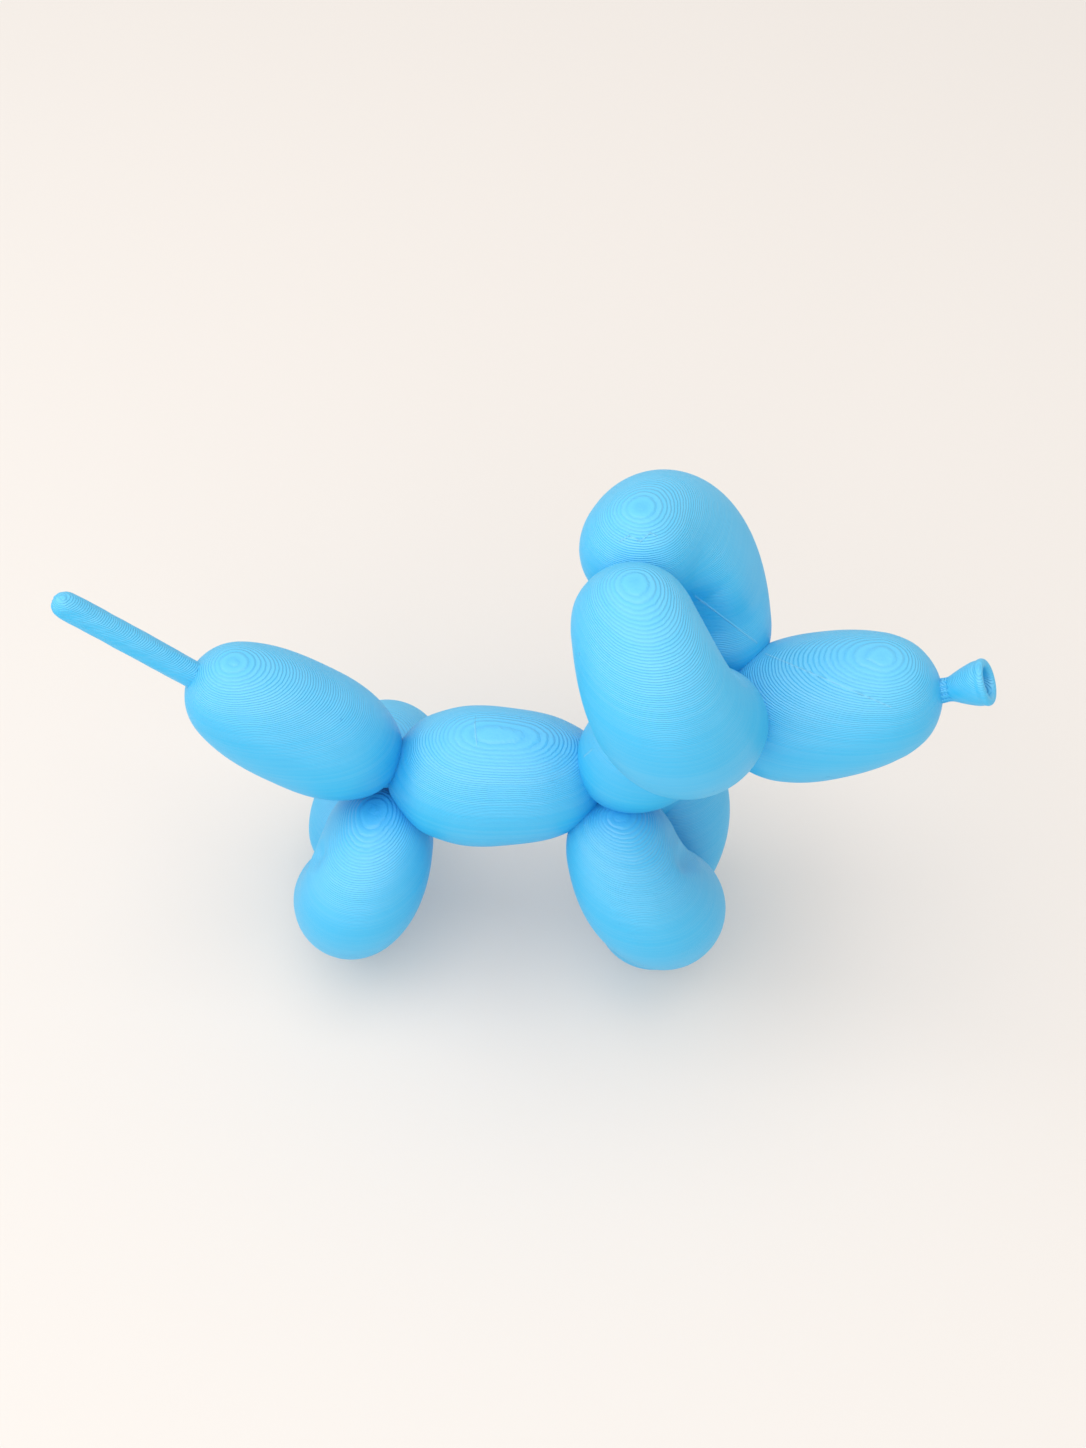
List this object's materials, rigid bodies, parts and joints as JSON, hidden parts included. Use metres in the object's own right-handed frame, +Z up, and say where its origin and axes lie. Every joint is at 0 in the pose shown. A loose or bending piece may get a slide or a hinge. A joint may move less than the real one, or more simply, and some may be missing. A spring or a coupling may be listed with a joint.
{
  "type": "balloon dog",
  "caption": "Printed figure of a dog twisted from a long balloon, standing, with a tied nozzle for a nose and a straight rod for a tail.",
  "frame": {"origin": "centre of the bounding box's bottom face: on the floor, in the dog's mirror plane", "axes": "+X towards the nose, +Y towards the dog's left side, +Z up"},
  "size_m": [0.151, 0.0556, 0.1016],
  "materials": {
    "blue_pla": "matte, with fine print layers"
  },
  "bodies": {
    "root": {"balloon_dog": "blue_pla"}
  },
  "joints": []
}
